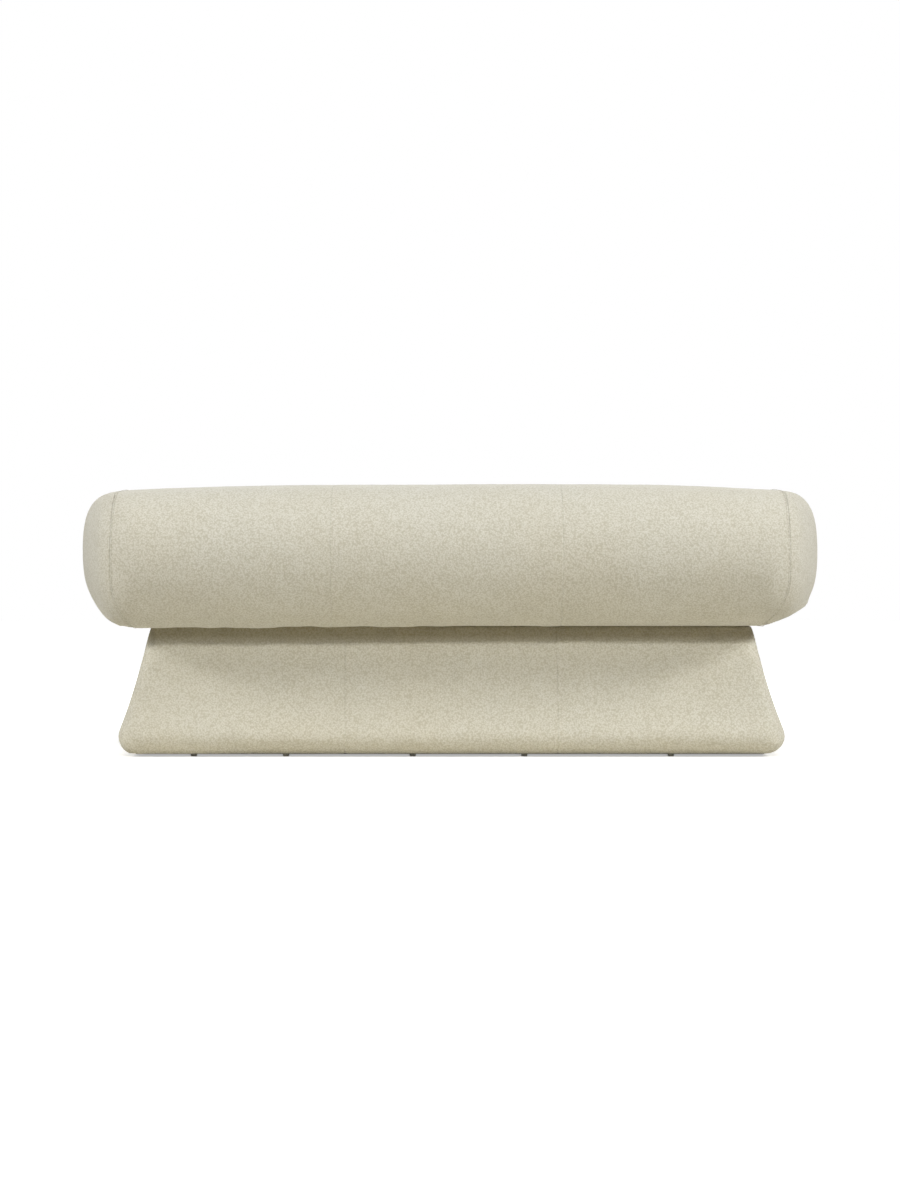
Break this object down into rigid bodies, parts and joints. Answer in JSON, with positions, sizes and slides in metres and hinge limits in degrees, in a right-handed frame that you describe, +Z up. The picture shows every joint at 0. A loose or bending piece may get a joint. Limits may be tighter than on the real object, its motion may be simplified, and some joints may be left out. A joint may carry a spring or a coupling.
{
  "type": "backless divan",
  "caption": "Long upholstered roll seat with domed seamed ends on a flared upholstered plinth, in light looped cloth, on small nail-on glides.",
  "frame": {"origin": "on the floor under the middle of the seat", "axes": "+X along the seat, the front faces -Y, +Z up"},
  "size_m": [1.3022, 0.6202, 0.4755],
  "materials": {
    "boucle": "looped boucle, light greige",
    "lining_cloth": "plain woven cloth",
    "dust_cloth": "black non-woven",
    "wadding": "white fibre",
    "foam": "open-cell foam",
    "felt": "grey pressed felt",
    "hardwood": "planed",
    "plywood": "sanded",
    "spring_steel": "drawn wire",
    "zinc_steel": "zinc plated",
    "glide_nylon": "moulded"
  },
  "bodies": {
    "root": {"sleeve_cover_left": "boucle", "sleeve_cover_centre": "boucle", "sleeve_cover_right": "boucle", "end_cap_cover_left": "boucle", "end_cap_cover_right": "boucle", "base_cover_front_left": "boucle", "base_cover_front_centre": "boucle", "base_cover_front_right": "boucle", "base_cover_back_left": "boucle", "base_cover_back_centre": "boucle", "base_cover_back_right": "boucle", "base_cover_left_end": "boucle", "base_cover_right_end": "boucle", "seat_underside_cloth": "lining_cloth", "base_dust_cover": "dust_cloth", "fibre_wrap": "wadding", "foam_core": "foam", "top_foam": "foam", "front_nose_foam": "foam", "back_nose_foam": "foam", "left_end_foam": "foam", "right_end_foam": "foam", "base_padding_front": "foam", "base_padding_back": "foam", "base_padding_left": "foam", "base_padding_right": "foam", "insulator_felt": "felt", "seat_front_rail": "hardwood", "seat_back_rail": "hardwood", "seat_left_rail": "hardwood", "seat_right_rail": "hardwood", "seat_cross_rail_left": "hardwood", "seat_cross_rail_right": "hardwood", "seat_corner_blocks": "hardwood", "base_front_rail": "hardwood", "base_back_rail": "hardwood", "base_left_rail": "hardwood", "base_right_rail": "hardwood", "base_corner_posts": "hardwood", "seat_board": "plywood", "base_deck": "plywood", "base_front_panel": "plywood", "base_back_panel": "plywood", "base_left_panel": "plywood", "base_right_panel": "plywood", "base_divider_left": "plywood", "base_divider_right": "plywood", "zigzag_springs": "spring_steel", "spring_clips": "spring_steel", "seat_bolts": "zinc_steel", "seat_washers": "zinc_steel", "tee_nuts": "zinc_steel", "panel_screws": "zinc_steel", "dust_cover_staples": "zinc_steel", "glide_nails": "zinc_steel", "glides": "glide_nylon"}
  },
  "joints": []
}
